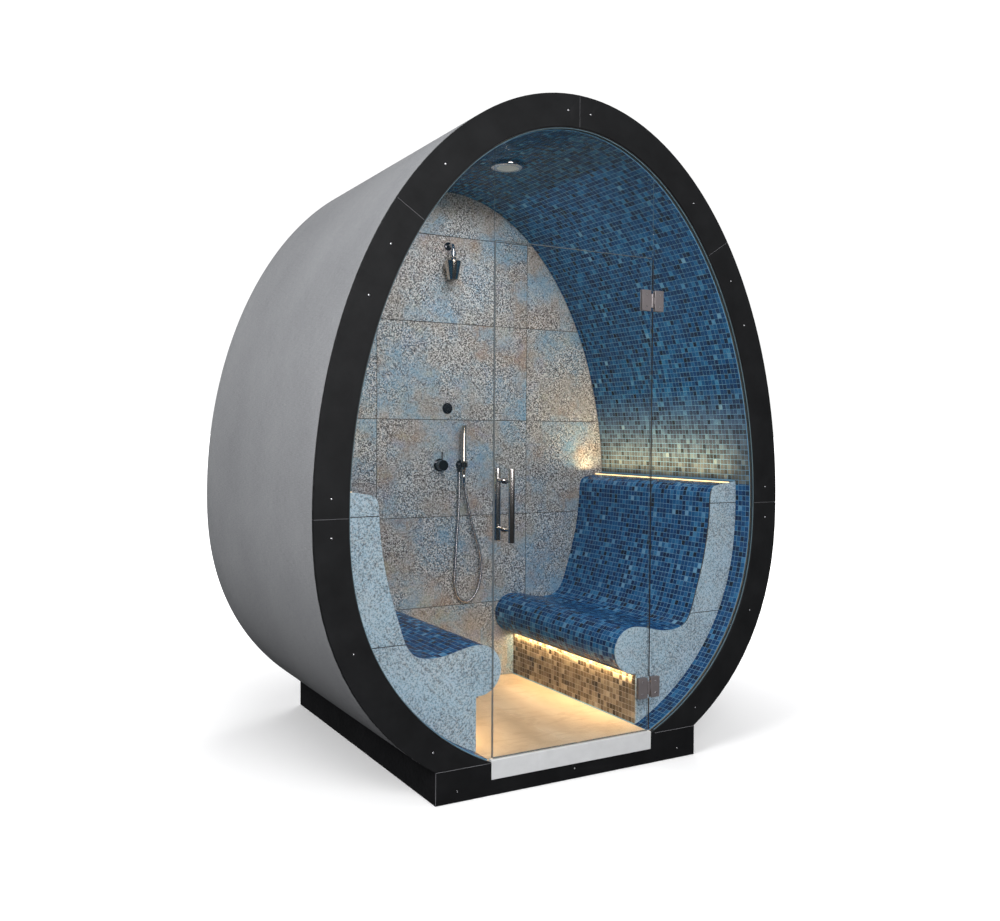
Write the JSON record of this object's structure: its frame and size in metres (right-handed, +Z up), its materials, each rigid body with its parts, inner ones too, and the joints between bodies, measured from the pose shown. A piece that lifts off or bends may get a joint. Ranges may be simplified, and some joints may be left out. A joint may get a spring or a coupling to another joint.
{
  "type": "steam cabin",
  "caption": "Egg-shaped walk-in steam cabin on a low plinth, with a glazed front and hinged glass door, tiled benches, shower fittings and a rear service compartment.",
  "frame": {"origin": "middle of the plinth's footprint, on the floor it stands on", "axes": "+X to the right seen from the door, +Y from the door to the back wall, +Z up"},
  "size_m": [2.26, 1.7125, 2.82],
  "materials": {
    "plinth_steel": "powder-coated steel box section, black",
    "plinth_panel": "black compact laminate, satin, with a thin light edge line",
    "screw_steel": "small countersunk steel screws",
    "tray": "glass-fibre shower tray",
    "floor_stone": "beige stone-look porcelain, matt, with light veins and narrow grout",
    "drain": "grey drain trap and pipe",
    "steel_grate": "slotted stainless grate",
    "black_composite": "black solid composite, satin, fine mottling, light seam lines",
    "shell": "grey textured skin, finely woven, matt",
    "rib_wood": "birch plywood ribs",
    "foam": "rigid insulation foam",
    "mosaic": "glazed mosaic chips in dark blue, slate and pale blue with light grout",
    "warm_mosaic": "glazed mosaic chips in brown, bronze and beige with light grout",
    "board": "cement-faced tile backer board",
    "pattern_tile": "large porcelain tiles with a worn carpet pattern in grey, beige and pale blue",
    "cover": "grey painted panel, satin, fine orange peel",
    "bench_foam": "shaped foam bench core under a cement skin",
    "warm_light": "frosted warm light strip",
    "glass": "clear tempered glass with polished edges",
    "gasket": "black glazing gasket",
    "clear_seal": "translucent door seal",
    "hinge": "brushed plates with a mauve-grey finish",
    "brushed": "brushed stainless steel",
    "handle": "polished tubular handle",
    "threshold": "plain satin aluminium plate",
    "dark_chrome": "black chrome, polished",
    "mirror_chrome": "polished button face",
    "bronze_chrome": "bronze-tinted chrome, polished",
    "hose_steel": "wound chrome hose",
    "ceiling_lens": "opal lens in a bright rim",
    "generator": "stainless steam generator case",
    "nozzle": "polished steam outlet",
    "brass": "plain brass thread",
    "gland": "black polyamide cable gland"
  },
  "bodies": {
    "cabin": {"base_frame": "plinth_steel", "base_front_panel": "plinth_panel", "base_side_panels": "plinth_panel", "base_rear_panel": "plinth_panel", "frame_screws": "screw_steel", "floor_tray": "tray", "floor_tiles": "floor_stone", "drain_body": "drain", "ring_lower_left": "black_composite", "ring_middle_left": "black_composite", "ring_upper_left": "black_composite", "ring_upper_right": "black_composite", "ring_middle_right": "black_composite", "ring_lower_right": "black_composite", "outer_shell": "shell", "shell_ribs": "rib_wood", "insulation_core": "foam", "vault_lining": "mosaic", "back_wall_board": "board", "back_wall_tiles": "pattern_tile", "rear_cover": "cover", "hatch_hinge_pins": "brushed", "bench_core_left": "bench_foam", "bench_core_right": "bench_foam", "bench_mosaic_left": "mosaic", "bench_mosaic_right": "mosaic", "skirt_mosaic": "warm_mosaic", "cheek_tiles_left": "pattern_tile", "cheek_tiles_right": "pattern_tile", "backrest_lights": "warm_light", "seat_lights": "warm_light", "side_glass_left": "glass", "side_glass_right": "glass", "transom_glass": "glass", "glazing_gasket": "gasket", "hinge_fixed_leaves": "hinge", "hinge_pins": "brushed", "threshold_plate": "threshold", "shower_arm": "dark_chrome", "button_bezel": "dark_chrome", "mixer_body": "dark_chrome", "hose_outlet": "dark_chrome", "shower_hose": "hose_steel", "ceiling_light": "ceiling_lens", "steam_generator": "generator", "steam_nozzle": "nozzle", "water_inlet": "brass", "cable_gland": "gland"},
    "door": {"door_glass": "glass", "door_seals": "clear_seal", "hinge_door_leaves": "hinge", "door_handle": "handle"},
    "push_button": {"push_button": "mirror_chrome"},
    "mixer_lever": {"mixer_lever": "dark_chrome"},
    "shower_swivel": {"shower_swivel": "dark_chrome"},
    "shower_head": {"shower_head": "dark_chrome"},
    "hand_shower": {"hand_shower": "bronze_chrome"},
    "service_hatch": {"service_hatch": "cover"},
    "drain_grate": {"drain_grate": "steel_grate"}
  },
  "joints": [
    {"name": "door_swing", "type": "hinge", "parent": "cabin", "child": "door", "pos_m": [0.39, -0.8, 1.17], "axis": [0, 0, 1], "range_deg": [0, 90]},
    {"name": "hatch_swing", "type": "hinge", "parent": "cabin", "child": "service_hatch", "pos_m": [-0.35, 0.808, 0.95], "axis": [0, 0, 1], "range_deg": [0, 100]},
    {"name": "button_press", "type": "slide", "parent": "cabin", "child": "push_button", "axis": [0, 1, 0], "range_m": [0, 0.003], "stiffness_N_per_m": 300},
    {"name": "mixer_turn", "type": "hinge", "parent": "cabin", "child": "mixer_lever", "pos_m": [-0.045, 0.385, 1.272], "axis": [0, 1, 0], "range_deg": [-60, 60]},
    {"name": "shower_pan", "type": "hinge", "parent": "cabin", "child": "shower_swivel", "pos_m": [0, 0.327, 2.4], "axis": [0, 0, 1], "range_deg": [-45, 45]},
    {"name": "shower_tilt", "type": "hinge", "parent": "shower_swivel", "child": "shower_head", "pos_m": [0, 0.327, 2.328], "axis": [1, 0, 0], "range_deg": [-12, 12]},
    {"name": "handset_lift", "type": "slide", "parent": "cabin", "child": "hand_shower", "axis": [0, 0, 1], "range_m": [0, 0.04]},
    {"name": "grate_lift", "type": "slide", "parent": "cabin", "child": "drain_grate", "axis": [0, 0, 1], "range_m": [0, 0.05]}
  ]
}
